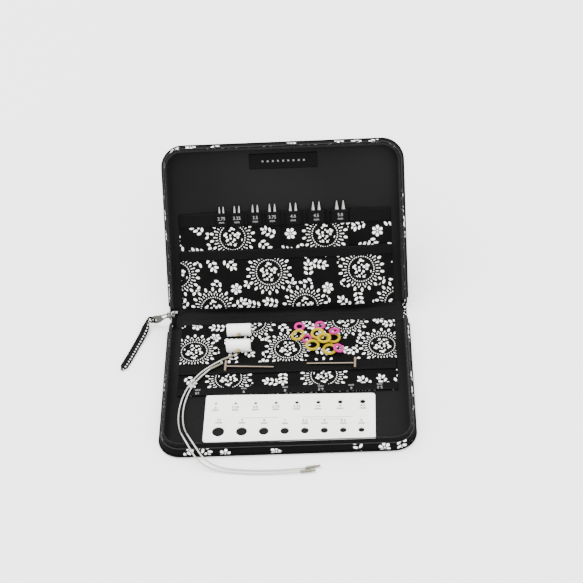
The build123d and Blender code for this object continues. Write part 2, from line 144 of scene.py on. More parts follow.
# Cables. Two bendable wires, clear coated, that join two needle tips into one circular needle.
# Each lies loose: from the pocket, over the front rim, and down on to the table.
CABLE_WIDTH = 1.3 * MM
CABLE_ROUTES = {
    "cable_a": [
        (-55.3, 27.0, 6.0), (-67.5, 19.0, 6.0), (-79.0, 5.5, 5.5), (-86.3, -11.5, 4.9),
        (-88.8, -31.0, 4.7), (-86.5, -49.0, 8.0), (-82.5, -62.0, 16.3), (-77.0, -73.0, 16.3),
        (-70.0, -80.5, 5.0), (-57.0, -86.5, 0.8), (-35.0, -90.0, 0.75), (-9.0, -91.3, 0.75),
        (10.5, -90.2, 1.2),
    ],
    "cable_b": [
        (-64.6, 17.0, 6.3), (-74.6, 7.2, 5.6), (-81.2, -6.0, 4.9), (-84.8, -22.0, 4.7),
        (-84.6, -38.0, 5.0), (-81.5, -52.0, 9.3), (-77.8, -62.5, 16.3), (-72.3, -72.8, 16.3),
        (-64.8, -79.2, 5.0), (-52.5, -84.0, 0.8), (-31.5, -87.0, 0.75), (-6.0, -88.0, 0.75),
        (14.5, -86.6, 1.2),
    ],
}

cable_finish, shader, place, uv = new_finish("cable_coating", Roughness=0.22, Metallic=0.35)
strands = place.node("ShaderNodeTexNoise", {}, {"Vector": place, "Scale": 1800.0, "Detail": 3.0})
feed(shader, strands.mix((0.26, 0.26, 0.245, 1), (0.52, 0.52, 0.50, 1)), "Base Color")
relief(shader, strands, 0.00005, 0.4)
shader.inputs["Coat Weight"].default_value = 0.8

ferrule_finish, shader, place, uv = new_finish("ferrule_steel", Metallic=1.0)
scuffs = place.node("ShaderNodeTexNoise", {}, {"Vector": place, "Scale": 900.0, "Detail": 4.0})
feed(shader, scuffs.mix((0.10, 0.092, 0.065, 1), (0.22, 0.205, 0.16, 1)), "Base Color")
feed(shader, 0.22 + scuffs * 0.2, "Roughness")

for name, route in CABLE_ROUTES.items():
    line = bpy.data.curves.new(name + "_wire", "CURVE")
    line.dimensions = "3D"
    line.bevel_depth = CABLE_WIDTH / 2
    line.bevel_resolution = 5
    line.resolution_u = 10
    line.use_fill_caps = True
    spline = line.splines.new("NURBS")
    spline.points.add(len(route) - 1)
    for point, spot in zip(spline.points, route):
        point.co = (*(Vector(spot) * MM), 1.0)
    spline.order_u = 3
    spline.use_endpoint_u = True
    line.materials.append(cable_finish)
    wire = bpy.data.objects.new(name + "_wire", line)
    bpy.context.scene.collection.objects.link(wire)
    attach(wire, "lower_half")
    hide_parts(name)
    ferrules = [nodes[name + "_near_ferrule"], nodes[name + "_far_ferrule"]]
    for ferrule in ferrules:
        ferrule.data.materials.clear()
        ferrule.data.materials.append(ferrule_finish)


# Case, common shape. Both halves are cut from the same pattern: a cloth tray, open at the fold,
# drawn here with the fold along X at the origin, its length along +Y and its inside upwards.
CASE_WIDTH = 205.0 * MM
HALF_DEPTH = 141.5 * MM
CORNER_RADIUS = 18.0 * MM
FOLD_HEIGHT = 4.0 * MM
LOWER_FOLD_Y = 70.75 * MM
LID_FOLD_Y = 87.75 * MM
LID_ANGLE = math.radians(54.0)
PLACES = {
    "lower": Matrix.Translation((0, LOWER_FOLD_Y, 0)) @ Matrix.Rotation(math.pi, 4, "Z"),
    "upper": Matrix.Translation((0, LID_FOLD_Y, FOLD_HEIGHT))
    @ Matrix.Rotation(LID_ANGLE, 4, "X") @ Matrix.Translation((0, 0, -FOLD_HEIGHT)),
}
BODIES = {"lower": "lower_half", "upper": "upper_half"}


def cut_to_outline(bm, inset, height):
    """The half's outline, set in all round, as one flat face."""
    behind = 3 * CORNER_RADIUS
    width = CASE_WIDTH - 2 * inset
    length = HALF_DEPTH - inset + behind
    made = bmesh.ops.create_grid(bm, x_segments=1, y_segments=1, size=0.5)
    bmesh.ops.scale(bm, verts=made["verts"], vec=(width, length, 1))
    bmesh.ops.translate(bm, verts=made["verts"], vec=(0, length / 2 - behind, height))
    bmesh.ops.bevel(bm, geom=made["verts"], offset=CORNER_RADIUS - inset, offset_type="OFFSET",
                    segments=9, profile=0.5, affect="VERTICES", material=-1)
    bm.faces.ensure_lookup_table()
    return bm.faces[-1]


def build_up(bm, face, steps):
    """Raises a face in steps of (further inset, rise), and leaves the last one as its top."""
    for inset, rise in steps:
        bmesh.ops.inset_individual(bm, faces=[face], thickness=inset * MM, depth=rise * MM,
                                   use_even_offset=True)
    return face


def cut_at_fold(bm, start=0.0002):
    """Cuts away everything behind the fold line."""
    geometry = bm.verts[:] + bm.edges[:] + bm.faces[:]
    bmesh.ops.bisect_plane(bm, geom=geometry, plane_co=(0, start, 0), plane_no=(0, 1, 0),
                           clear_inner=True)


def lay_print(bm):
    """Lays the cloth's pattern on the faces, in metres along the cloth."""
    layer = bm.loops.layers.uv.verify()
    for face in bm.faces:
        flat = abs(face.normal.z) > 0.5
        side = abs(face.normal.x) > abs(face.normal.y)
        for loop in face.loops:
            x, y, z = loop.vert.co
            if flat:
                loop[layer].uv = (x, y)
            elif side:
                loop[layer].uv = (math.copysign(CASE_WIDTH / 2 + z, x), y)
            else:
                loop[layer].uv = (x, HALF_DEPTH + z)


def sew_in(bm, name, half, finish, replaced=(), smooth=True, wall_finish=None):
    """Makes the finished piece, puts it in its half of the case and lets it ride there."""
    bmesh.ops.remove_doubles(bm, verts=bm.verts, dist=1e-6)
    lay_print(bm)
    for face in bm.faces:
        face.material_index = 1 if wall_finish and abs(face.normal.z) < 0.6 else 0
    bmesh.ops.transform(bm, matrix=PLACES[half], verts=bm.verts)
    mesh = bpy.data.meshes.new(name)
    bm.to_mesh(mesh)
    bm.free()
    for face in mesh.polygons:
        face.use_smooth = smooth
    mesh.materials.append(finish)
    if wall_finish:
        mesh.materials.append(wall_finish)
    piece = bpy.data.objects.new(name, mesh)
    bpy.context.scene.collection.objects.link(piece)
    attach(piece, BODIES[half])
    if replaced:
        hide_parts(*replaced)
    return piece


# Printed cotton. Black cloth, screen printed in white: round medallions of petals and dots in
# staggered rows, with loose sprays of small leaves between them.
MEDALLION_PITCH = 79.0
MEDALLION_ROWS = 62.0
MEDALLION_DRIFT = 19.0
MEDALLION_HALF = (49.0, 31.0)
MEDALLION_REACH = 20.5
MEDALLION_RINGS = [
    # radius, number, half length outward, half width, turn; all in millimetres and turns
    (10.8, 34, 0.42, 0.44, 0.0),
    (13.6, 34, 1.15, 0.30, 0.5),
    (15.6, 18, 0.80, 0.50, 0.5),
    (17.9, 18, 1.70, 1.00, 0.0),
]


def medallion(across, along, shift_across, shift_along):
    """One staggered set of medallions: where they are inked, and how far off their centres."""
    row = ((along - shift_along) / MEDALLION_ROWS).rounded()
    y = along - shift_along - row * MEDALLION_ROWS
    x = across - shift_across - row * MEDALLION_DRIFT
    x = x - (x / MEDALLION_PITCH).rounded() * MEDALLION_PITCH
    radius = (x * x + y * y).root()
    turns = x.maths("ARCTAN2", y, x) / (2 * math.pi)
    flat = x.node("ShaderNodeCombineXYZ", {}, {"X": x, "Y": y})
    grain = flat.node("ShaderNodeTexVoronoi", {"voronoi_dimensions": "2D"},
                      {"Vector": flat, "Scale": 0.33, "Randomness": 0.95})
    size = grain.output("Color").node("ShaderNodeSeparateColor", {}, {"Color": grain.output("Color")})
    ink = (grain < (0.20 + size * 0.22)) * (radius < (5.8 + size * 3.2))
    for ring, number, long, wide, turn in MEDALLION_RINGS:
        part = (turns * number + turn).fraction() - 0.5
        side = part * (2 * math.pi * ring / number / wide)
        out = (radius - ring) / long
        ink = ink.either((side * side + out * out) < 1.0)
    return ink, radius


SPRIG_CELL = 15.5
SPRIG_PITCH = 3.9
PETAL_RING = 3.1


def sprigs(across, along):
    """Small leafy sprigs and six-petalled flowers, one to a cell, each turned its own way."""
    spot = across.node("ShaderNodeCombineXYZ", {}, {"X": across, "Y": along})
    cell = spot.node("ShaderNodeTexVoronoi", {"voronoi_dimensions": "2D"},
                     {"Vector": spot, "Scale": 1 / SPRIG_CELL, "Randomness": 0.55})
    chance = cell.output("Color").node("ShaderNodeSeparateColor", {}, {"Color": cell.output("Color")})
    near = spot.node("ShaderNodeVectorMath", {"operation": "SUBTRACT"},
                     {0: spot, 1: cell.output("Position")})
    near = near.node("ShaderNodeVectorRotate", {"rotation_type": "Z_AXIS"},
                     {"Vector": near, "Angle": chance * (2 * math.pi)})
    x = near.node("ShaderNodeSeparateXYZ", {}, {"Vector": near})
    y = x.output("Y")
    step = x - (x / SPRIG_PITCH).rounded() * SPRIG_PITCH
    away = y.size() - 2.15
    long = (step * 0.62 + away * 0.78) / 1.95
    wide = (step * 0.78 - away * 0.62) / 1.05
    leaves = ((long * long + wide * wide) < 1.0) * (x.size() < 5.6)
    tip = (x - 6.3) / 1.7
    side = y / 0.95
    sprig = leaves.either((tip * tip + side * side) < 1.0)
    radius = (x * x + y * y).root()
    part = (x.maths("ARCTAN2", y, x) * (3 / math.pi)).fraction() - 0.5
    part = part * (math.pi * PETAL_RING / 3 / 1.15)
    out = (radius - PETAL_RING) / 1.75
    flower = ((part * part + out * out) < 1.0).either(radius < 0.7)
    pick = chance.output("Green") < 0.24
    return (flower * pick).either(sprig * (1.0 - pick))


def printed_cotton(name, shift_across, shift_along, sparse=False):
    """The printed cloth, with its pattern slid to where this panel was cut from."""
    finish, shader, place, uv = new_finish(name, Roughness=0.82)
    split = uv.node("ShaderNodeSeparateXYZ", {}, {"Vector": uv})
    across = split * 1000.0 + shift_across
    along = split.output("Y") * 1000.0 + shift_along
    ink = sprigs(across, along)
    if sparse:
        spread = uv.node("ShaderNodeTexNoise", {}, {"Vector": uv, "Scale": 22.0, "Detail": 1.0})
        ink = ink * (spread > 0.52)
    else:
        even, even_radius = medallion(across, along, 0.0, 0.0)
        odd, odd_radius = medallion(across, along, *MEDALLION_HALF)
        ink = ink * (even_radius > MEDALLION_REACH) * (odd_radius > MEDALLION_REACH)
        ink = ink.either(even.either(odd))
    fade = place.node("ShaderNodeTexNoise", {}, {"Vector": place, "Scale": 120.0, "Detail": 3.0})
    cloth = fade.mix((0.0016, 0.0016, 0.0017, 1), (0.0036, 0.0035, 0.0034, 1))
    paint = fade.mix((0.84, 0.84, 0.82, 1), (0.93, 0.93, 0.91, 1))
    feed(shader, ink.mix(cloth, paint), "Base Color")
    feed(shader, 0.88 - ink * 0.25, "Roughness")
    relief(shader, weave_height(place, 0.00045) + ink * 0.6, 0.00012, 0.6)
    shader.inputs["Specular IOR Level"].default_value = 0.04
    return finish


cotton = {
    "lower": printed_cotton("cotton_lower", 49.0, 0.0),
    "upper": printed_cotton("cotton_upper", 34.0, 30.0),
}
wall_cotton = printed_cotton("cotton_walls", 0.0, 12.0, sparse=True)


def rim_path(inset, height, tail=0.0, spacing=1.5 * MM):
    """Evenly spaced spots round the three free sides of a half, from fold to fold; the tail
    is how far the path runs on past the second fold."""
    radius = CORNER_RADIUS - inset
    side = CASE_WIDTH / 2 - inset
    turn_x = side - radius
    turn_y = HALF_DEPTH - inset - radius
    straight = turn_y - 4.0 * MM
    arc = radius * math.pi / 2
    whole = 2 * straight + 2 * arc + 2 * turn_x + tail
    spots = []
    for step in range(int(whole / spacing) + 1):
        gone = step * spacing
        if gone < straight:
            x, y = -side, turn_y - straight + gone
        elif gone < straight + arc:
            angle = (gone - straight) / radius
            x, y = -turn_x - radius * math.cos(angle), turn_y + radius * math.sin(angle)
        elif gone < straight + arc + 2 * turn_x:
            x, y = -turn_x + gone - straight - arc, turn_y + radius
        elif gone < straight + 2 * arc + 2 * turn_x:
            angle = (gone - straight - arc - 2 * turn_x) / radius
            x, y = turn_x + radius * math.sin(angle), turn_y + radius * math.cos(angle)
        else:
            x, y = side, turn_y - (gone - straight - 2 * arc - 2 * turn_x)
        spots.append(Vector((x, y, height)))
    return spots


ZIP_TAIL = {"lower": 12.5 * MM, "upper": 0.0}
COIL_PITCH = 1.3 * MM
COIL_WIDE = 0.62 * MM
COIL_HIGH = 0.42 * MM
COIL_WIRE = 0.19 * MM
COIL_SPOTS = 7
COIL_CORE = 0.34 * MM


def coil_path(path):
    """Winds a coil round a path."""
    wound = []
    gone = 0.0
    for here, there in zip(path, path[1:]):
        along = there - here
        out = along.cross(Vector((0, 0, 1))).normalized()
        steps = round(along.length / COIL_PITCH * COIL_SPOTS)
        for step in range(steps):
            angle = 2 * math.pi * gone / COIL_SPOTS
            gone += 1
            wound.append(here + along * step / steps + out * COIL_WIDE * math.cos(angle)
                         + Vector((0, 0, COIL_HIGH * math.sin(angle))))
    return wound


def run_cord(name, half, path, radius, finish, replaced=(), rounds=3):
    """A round cord along a path in one half, made a mesh."""
    line = bpy.data.curves.new(name, "CURVE")
    line.dimensions = "3D"
    line.bevel_depth = radius
    line.bevel_resolution = rounds
    line.use_fill_caps = True
    spline = line.splines.new("POLY")
    spline.points.add(len(path) - 1)
    for point, spot in zip(spline.points, path):
        point.co = (*spot, 1.0)
    draft = bpy.data.objects.new(name, line)
    bm = bmesh.new()
    bm.from_mesh(bpy.data.meshes.new_from_object(draft))
    bpy.data.objects.remove(draft)
    return sew_in(bm, name, half, finish, replaced)


def cut_flat(bm, spot, direction):
    """Adds one line of vertices across everything, where a plane passes."""
    geometry = bm.verts[:] + bm.edges[:] + bm.faces[:]
    bmesh.ops.bisect_plane(bm, geom=geometry, plane_co=spot, plane_no=direction)


satin, shader, place, uv = new_finish("satin_lining", Roughness=0.5)
drift = place.node("ShaderNodeTexNoise", {}, {"Vector": place, "Scale": 35.0, "Detail": 5.0})
sweep = place.node("ShaderNodeTexNoise", {}, {"Vector": place, "Scale": 9.0, "Detail": 1.0})
# Painted sheen: soft noise patches make the satin's colour lighter, standing in for the light it catches.
sheen = sweep * sweep * 1.6 + drift * 0.3
feed(shader, sheen.mix((0.0012, 0.0012, 0.0013, 1), (0.0064, 0.0064, 0.0066, 1)), "Base Color")
feed(shader, 0.40 + drift * 0.22, "Roughness")
relief(shader, weave_height(place, 0.0005) + drift * 6.0, 0.00012, 0.55)
shader.inputs["Specular IOR Level"].default_value = 0.045

piping_finish, shader, place, uv = new_finish("piping_cotton", Roughness=0.8)
dashes = place.node("ShaderNodeTexVoronoi", {}, {"Vector": place, "Scale": 170.0, "Randomness": 0.9})
feed(shader, (dashes < 0.06).mix((0.0022, 0.0022, 0.0022, 1), (0.45, 0.45, 0.43, 1)), "Base Color")
shader.inputs["Specular IOR Level"].default_value = 0.05
relief(shader, weave_height(place, 0.00045), 0.0001, 0.5)

tape_finish, shader, place, uv = new_finish("zip_tape_weave", Roughness=0.7)
threads = weave_height(place, 0.0009)
feed(shader, threads.mix((0.0012, 0.0012, 0.0012, 1), (0.006, 0.006, 0.006, 1)), "Base Color")
shader.inputs["Specular IOR Level"].default_value = 0.06
relief(shader, threads, 0.00015, 0.8)

fold_finish, shader, place, uv = new_finish("folded_edge", Roughness=0.55)
flecks = place.node("ShaderNodeTexVoronoi", {}, {"Vector": place, "Scale": 95.0, "Randomness": 1.0})
worn = place.node("ShaderNodeTexNoise", {}, {"Vector": place, "Scale": 60.0, "Detail": 2.0})
plain = worn.mix((0.004, 0.004, 0.004, 1), (0.016, 0.016, 0.0155, 1))
feed(shader, (flecks < 0.055).mix(plain, (0.45, 0.45, 0.43, 1)), "Base Color")
shader.inputs["Specular IOR Level"].default_value = 0.2

coil_finish, shader, place, uv = new_finish("nylon_coil", Roughness=0.38)
grime = place.node("ShaderNodeTexNoise", {}, {"Vector": place, "Scale": 400.0, "Detail": 2.0})
feed(shader, grime.mix((0.003, 0.003, 0.003, 1), (0.012, 0.012, 0.012, 1)), "Base Color")
shader.inputs["Specular IOR Level"].default_value = 0.3


for half in PLACES:
    # Outer shell. One piece of printed cotton wraps the underside and turns up into the side
    # wall; the wall leans in towards its rim, and a board inside keeps the base flat.
    bm = bmesh.new()
    wide = cut_to_outline(bm, 0.05 * MM, 2.2 * MM)
    build_up(bm, wide, [(0.35, 1.9), (0.65, 1.9), (0.85, 1.7), (0.35, 0.25), (0.45, -0.15)])
    bmesh.ops.delete(bm, geom=[wide], context="FACES_ONLY")
    base = cut_to_outline(bm, 0.05 * MM, 2.2 * MM)
    build_up(bm, base, [(0.15, -0.9), (0.45, -0.75), (0.75, -0.4), (1.2, -0.15), (12.0, 0.0)])
    bmesh.ops.remove_doubles(bm, verts=bm.verts, dist=1e-5)
    cut_at_fold(bm)
    bmesh.ops.recalc_face_normals(bm, faces=bm.faces)
    shell = sew_in(bm, half + "_shell", half, cotton[half],
                   (half + "_cover", half + "_gusset"), wall_finish=wall_cotton)
    skin = shell.modifiers.new("thickness", "SOLIDIFY")
    skin.thickness = 0.7 * MM
    skin.offset = -1.0

    # Piping. A cord wrapped in the same cotton is sewn round the edge of the base.
    PIPING_RADIUS = 0.72 * MM
    run_cord(half + "_edge_piping", half, rim_path(-0.35 * MM, 1.05 * MM), PIPING_RADIUS,
             piping_finish, (half + "_piping",))

    # Lining. Dark satin covers the board and turns up inside the wall as far as the zip; it is
    # only held at its edge, so it lies in shallow waves.
    bm = bmesh.new()
    rise = cut_to_outline(bm, 2.1 * MM, 3.0 * MM)
    build_up(bm, rise, [(0.05, 0.5), (0.2, 1.4), (0.3, 1.6), (0.25, 1.45)])
    bmesh.ops.delete(bm, geom=[rise], context="FACES_ONLY")
    cut_to_outline(bm, 2.1 * MM, 3.0 * MM)
    cut_at_fold(bm)
    for step in range(-23, 24):
        cut_flat(bm, (step * 4.4 * MM, 0, 0), (1, 0, 0))
    for step in range(1, 32):
        cut_flat(bm, (0, step * 4.4 * MM, 0), (0, 1, 0))
    bmesh.ops.remove_doubles(bm, verts=bm.verts, dist=1e-6)
    for vert in bm.verts:
        if abs(vert.co.z - 3.0 * MM) < 1e-6 and len(vert.link_edges) == 4:
            wave = noise.noise(Vector((vert.co.x * 38, vert.co.y * 60, 3.7 if half == "lower" else 8.1)))
            fine = noise.noise(Vector((vert.co.x * 150, vert.co.y * 90, 5.5)))
            vert.co.z += min(0.0, wave * 0.30 + fine * 0.12 - 0.06) * MM
    bmesh.ops.recalc_face_normals(bm, faces=bm.faces)
    if sum(face.normal.z * face.calc_area() for face in bm.faces) < 0:
        bmesh.ops.reverse_faces(bm, faces=bm.faces)
    lining = sew_in(bm, half + "_lining_cloth", half, satin,
                    (half + "_lining", half + "_lining_seam"))
    skin = lining.modifiers.new("thickness", "SOLIDIFY")
    skin.thickness = 0.3 * MM
    skin.offset = -1.0

    # Zip. Woven tape stands up round the rim, with a nylon coil sewn along its edge; a thin
    # folded strip covers the seam between tape and wall.
    bm = bmesh.new()
    tape = cut_to_outline(bm, 2.2 * MM, 7.7 * MM)
    build_up(bm, tape, [(0.3, 1.2), (0.3, 1.2), (0.3, 1.2)])
    bmesh.ops.delete(bm, geom=[tape], context="FACES_ONLY")
    cut_at_fold(bm, 4.0 * MM)
    bmesh.ops.recalc_face_normals(bm, faces=bm.faces)
    tape = sew_in(bm, half + "_zip_tape_cloth", half, tape_finish, (half + "_zip_tape",))
    skin = tape.modifiers.new("thickness", "SOLIDIFY")
    skin.thickness = 0.6 * MM
    skin.offset = -1.0
    run_cord(half + "_rim_fold", half, rim_path(1.75 * MM, 8.0 * MM), 0.42 * MM, fold_finish)
    coil = coil_path(rim_path(3.9 * MM, 11.75 * MM, ZIP_TAIL[half]))
    run_cord(half + "_zip_coil", half, coil, COIL_WIRE, coil_finish, (half + "_zip_teeth",),
             rounds=1)
    run_cord(half + "_coil_core", half, rim_path(3.9 * MM, 11.75 * MM, ZIP_TAIL[half]), COIL_CORE,
             tape_finish)
    if ZIP_TAIL[half]:
        bm = bmesh.new()
        bmesh.ops.create_grid(bm, x_segments=2, y_segments=12, size=0.5)
        bmesh.ops.scale(bm, verts=bm.verts, vec=(3.4 * MM, ZIP_TAIL[half], 1))
        bmesh.ops.rotate(bm, verts=bm.verts, matrix=Matrix.Rotation(-math.pi / 2, 3, "Y"))
        bmesh.ops.translate(bm, verts=bm.verts,
                            vec=(CASE_WIDTH / 2 - 3.6 * MM, 4.0 * MM - ZIP_TAIL[half] / 2, 9.6 * MM))
        tail = sew_in(bm, half + "_zip_tail", half, tape_finish)
        skin = tail.modifiers.new("thickness", "SOLIDIFY")
        skin.thickness = 0.6 * MM
        skin.offset = 0.0

# Pockets. Panels of printed cotton in two tiers across each half. The lid's back panel is sewn
# down between the needle tips, so that each pair lies in its own channel and lifts the cloth.
POCKET_HALF_WIDTH = 90.5
TIP_SIZES = [2.75, 3.25, 3.5, 3.75, 4.0, 4.5, 5.0]
TIP_CENTRES = [-53.6, -40.4, -24.7, -10.1, 7.7, 27.4, 47.8]
CHANNEL_SEAMS = [-61.6, -47.0, -32.55, -17.4, -1.2, 17.55, 37.6, 56.8]
CHANNEL_FLOOR = 3.45


def smooth_step(value):
    value = min(1.0, max(0.0, value))
    return value * value * (3 - 2 * value)


CHANNEL_DIP = 0.62


def channel_height(x, y):
    """The height of the lid's back panel over the tips, in millimetres."""
    slack = 0.5 + 0.5 * noise.noise(Vector((x * 0.05, y * 0.06, 1.3)))
    for number, size in enumerate(TIP_SIZES):
        low, high = CHANNEL_SEAMS[number], CHANNEL_SEAMS[number + 1]
        if low <= x <= high:
            centre = TIP_CENTRES[number]
            flank = abs((low if x < centre else high) - centre) - size - 0.6
            fall = 1 - CHANNEL_DIP * smooth_step((abs(x - centre) - size - 0.6) / flank)
            return CHANNEL_FLOOR + 0.4 + (size + 0.3 * slack) * fall
    size = TIP_SIZES[0] if x < 0 else TIP_SIZES[-1]
    outside = min(abs(x - CHANNEL_SEAMS[0]), abs(x - CHANNEL_SEAMS[-1]))
    fall = 1 - smooth_step(outside / 22)
    return CHANNEL_FLOOR + 0.4 * fall + (size + 0.3 * slack) * (1 - CHANNEL_DIP) * fall


def front_height(x, y):
    """The height of the lid's front panel, which spans the channels with hardly a dip."""
    slack = noise.noise(Vector((x * 0.04, y * 0.05, 9.4)))
    places = [-POCKET_HALF_WIDTH] + TIP_CENTRES + [POCKET_HALF_WIDTH]
    tops = [0.35] + TIP_SIZES + [0.35]
    for low, high, start, end in zip(places, places[1:], tops, tops[1:]):
        if low <= x <= high:
            share = (x - low) / (high - low)
            dip = 0.16 * min(start, end) * math.sin(share * math.pi)
            return CHANNEL_FLOOR + start + (end - start) * smooth_step(share) + 1.0 - dip + 0.12 * slack
    return CHANNEL_FLOOR + tops[0] + 1.0


def flat_height(x, y):
    """The height of the lower half's pocket cloth, nearly flat, in millimetres."""
    return 3.62 - 0.16 * (0.5 + 0.5 * noise.noise(Vector((x * 0.06, y * 0.08, 6.2))))


POCKET_SHAPES = {"lower": (flat_height, flat_height), "upper": (channel_height, front_height)}


def cloth_panel(name, half, height, reach, lift, thickness, finish, replaced=(), cells=(180, 30)):
    """A strip of cloth across a half, following the pocket's shape at a height above it."""
    start, end = reach
    bm = bmesh.new()
    bmesh.ops.create_grid(bm, x_segments=cells[0], y_segments=cells[1], size=0.5)
    for vert in bm.verts:
        x = vert.co.x * 2 * POCKET_HALF_WIDTH
        y = start + (vert.co.y + 0.5) * (end - start)
        vert.co = Vector((x, y, height(x, y) + lift)) * MM
    piece = sew_in(bm, name, half, finish, replaced)
    skin = piece.modifiers.new("thickness", "SOLIDIFY")
    skin.thickness = thickness * MM
    skin.offset = -1.0
    return piece


ribbon_finish, shader, place, uv = new_finish("grosgrain_ribbon", Roughness=0.6)
ribs = uv.node("ShaderNodeTexWave", {"bands_direction": "X"}, {"Vector": uv, "Scale": 380.0})
tint = place.node("ShaderNodeTexNoise", {}, {"Vector": place, "Scale": 80.0, "Detail": 3.0})
feed(shader, tint.mix((0.0010, 0.0010, 0.0011, 1), (0.0026, 0.0026, 0.0027, 1)), "Base Color")
shader.inputs["Specular IOR Level"].default_value = 0.04
feed(shader, 0.45 + tint * 0.2, "Roughness")
relief(shader, ribs, 0.00012, 0.5)

POCKETS = {
    # back panel, its label ribbon, front panel, its binding: distances from the fold
    "lower": ((0.4, 80.2), (72.4, 80.2), (0.4, 57.6), (46.0, 57.6)),
    "upper": ((1.6, 83.5), (71.9, 83.5), (2.0, 52.0), (43.8, 52.0)),
}
TIER_LIFT = 0.62
PANEL_CLOTH = 0.5
RIBBON_CLOTH = 0.38
for half, (back, band, front, binding) in POCKETS.items():
    behind, before = POCKET_SHAPES[half]
    for name, height, reach, lift, node in (
        ("_back_tier", behind, back, 0.0, "_channel_pocket"),
        ("_front_tier", before, front, TIER_LIFT, "_front_pocket"),
    ):
        panel = cloth_panel(half + name, half, height, reach, lift, PANEL_CLOTH, cotton[half],
                            (half + node,), cells=(240, 26))
        (reach[1] - reach[0]) * MM
    cloth_panel(half + "_label_ribbon", half, behind, (band[0], band[1] + 0.3), RIBBON_CLOTH + 0.1,
                RIBBON_CLOTH, ribbon_finish, (half + "_label_band",), cells=(240, 6))
    cloth_panel(half + "_binding_ribbon", half, before, (binding[0], binding[1] + 0.3),
                TIER_LIFT + RIBBON_CLOTH + 0.1, RIBBON_CLOTH, ribbon_finish,
                (half + "_pocket_binding",), cells=(240, 6))


# Stitching. Black thread holds each ribbon along both edges and closes the channels.
thread_finish, shader, place, uv = new_finish("sewing_thread", Roughness=0.5)
twist = place.node("ShaderNodeTexNoise", {}, {"Vector": place, "Scale": 2500.0})
feed(shader, twist.mix((0.004, 0.004, 0.004, 1), (0.014, 0.014, 0.014, 1)), "Base Color")
shader.inputs["Specular IOR Level"].default_value = 0.1
STITCH_PITCH = 2.6
STITCH_LENGTH = 1.9


def stitch_line(bm, height, start, end, lift):
    """A row of stitches on the cloth from one spot to another, in millimetres."""
    start, end = Vector(start), Vector(end)
    length = (end - start).length
    count = int(length / STITCH_PITCH)
    heading = (end - start).to_3d().to_track_quat("X", "Z").to_matrix().to_4x4()
    for step in range(count):
        middle = start + (end - start) * (step + 0.5) / count
        z = height(middle.x, middle.y) + lift
        place = Matrix.Translation(Vector((middle.x, middle.y, z)) * MM) @ heading
        shape = place @ Matrix.Diagonal((STITCH_LENGTH / 2 * MM, 0.17 * MM, 0.13 * MM, 1))
        bmesh.ops.create_icosphere(bm, subdivisions=1, radius=1.0, matrix=shape)


for half, (back, band, front, binding) in POCKETS.items():
    bm = bmesh.new()
    inner = POCKET_HALF_WIDTH - 1.0
    behind, before = POCKET_SHAPES[half]
    for height, y, lift in (
        (behind, band[0] + 0.7, RIBBON_CLOTH + 0.12), (behind, band[1] - 0.5, RIBBON_CLOTH + 0.12),
        (before, binding[0] + 0.7, TIER_LIFT + RIBBON_CLOTH + 0.12),
        (before, binding[1] - 0.5, TIER_LIFT + RIBBON_CLOTH + 0.12),
    ):
        stitch_line(bm, height, (-inner, y), (inner, y), lift)
    if half == "upper":
        for x in CHANNEL_SEAMS:
            stitch_line(bm, behind, (x, front[1] + 1.0), (x, back[1]), RIBBON_CLOTH + 0.12)
    sew_in(bm, half + "_stitches", half, thread_finish)

# Spine. Two strips of the cover's cotton join the halves, with satin inside, over a narrow board
# of its own. The strip at the lid's fold turns up to the lid's angle; the other lies flat.
SPINE_ENDS = (-95.6, 98.2)
COVER_ENDS = (-95.6, 101.6)
SPINE_WIDTH = 17.0
SPINE_REACH = 2.6
BEND_REACH = 1.6
FOLD_LINES = {"lower": (LOWER_FOLD_Y / MM, ("lower_half", "spine"), -1),
              "upper": (LID_FOLD_Y / MM, ("spine", "upper_half"), 1)}


def spine_strip(name, line, ends, reach, height, rise, thickness, finish):
    """A strip along one fold; its outer part follows the half's angle at rest."""
    fold, bodies, outward = FOLD_LINES[line]
    bm = bmesh.new()
    bmesh.ops.create_grid(bm, x_segments=90, y_segments=14, size=0.5)
    for vert in bm.verts:
        x = ends[0] + (vert.co.x + 0.5) * (ends[1] - ends[0])
        gone = (vert.co.y + 0.5) * (reach[1] - reach[0]) + reach[0]
        crease = rise * math.exp(-(gone / 1.6) ** 2)
        wave = 0.10 * noise.noise(Vector((x * 0.09, gone * 0.2, 2.2 + height)))
        vert.co = Vector((x, gone * outward, height + crease + wave * (rise > 0)))
        if line == "upper" and gone > 0:
            bent = LID_ANGLE * smooth_step(gone / 0.8)
            y, z = vert.co.y, vert.co.z - FOLD_HEIGHT / MM
            vert.co.y = y * math.cos(bent) - z * math.sin(bent)
            vert.co.z = y * math.sin(bent) + z * math.cos(bent) + FOLD_HEIGHT / MM
        vert.co.y += fold
    bmesh.ops.scale(bm, verts=bm.verts, vec=(MM, MM, MM))
    layer = bm.loops.layers.uv.verify()
    for face in bm.faces:
        for loop in face.loops:
            loop[layer].uv = (loop.vert.co.x, loop.vert.co.y)
    bmesh.ops.recalc_face_normals(bm, faces=bm.faces)
    if sum(face.normal.z for face in bm.faces) < 0:
        bmesh.ops.reverse_faces(bm, faces=bm.faces)
    mesh = bpy.data.meshes.new(name)
    bm.to_mesh(mesh)
    bm.free()
    for face in mesh.polygons:
        face.use_smooth = True
    mesh.materials.append(finish)
    piece = bpy.data.objects.new(name, mesh)
    bpy.context.scene.collection.objects.link(piece)
    skin = piece.modifiers.new("thickness", "SOLIDIFY")
    skin.thickness = thickness * MM
    skin.offset = 0.0
    beyond = Vector((0, BEND_REACH, 0))
    if line == "upper":
        beyond.rotate(Matrix.Rotation(LID_ANGLE, 3, "X"))
    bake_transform(piece)
    return piece


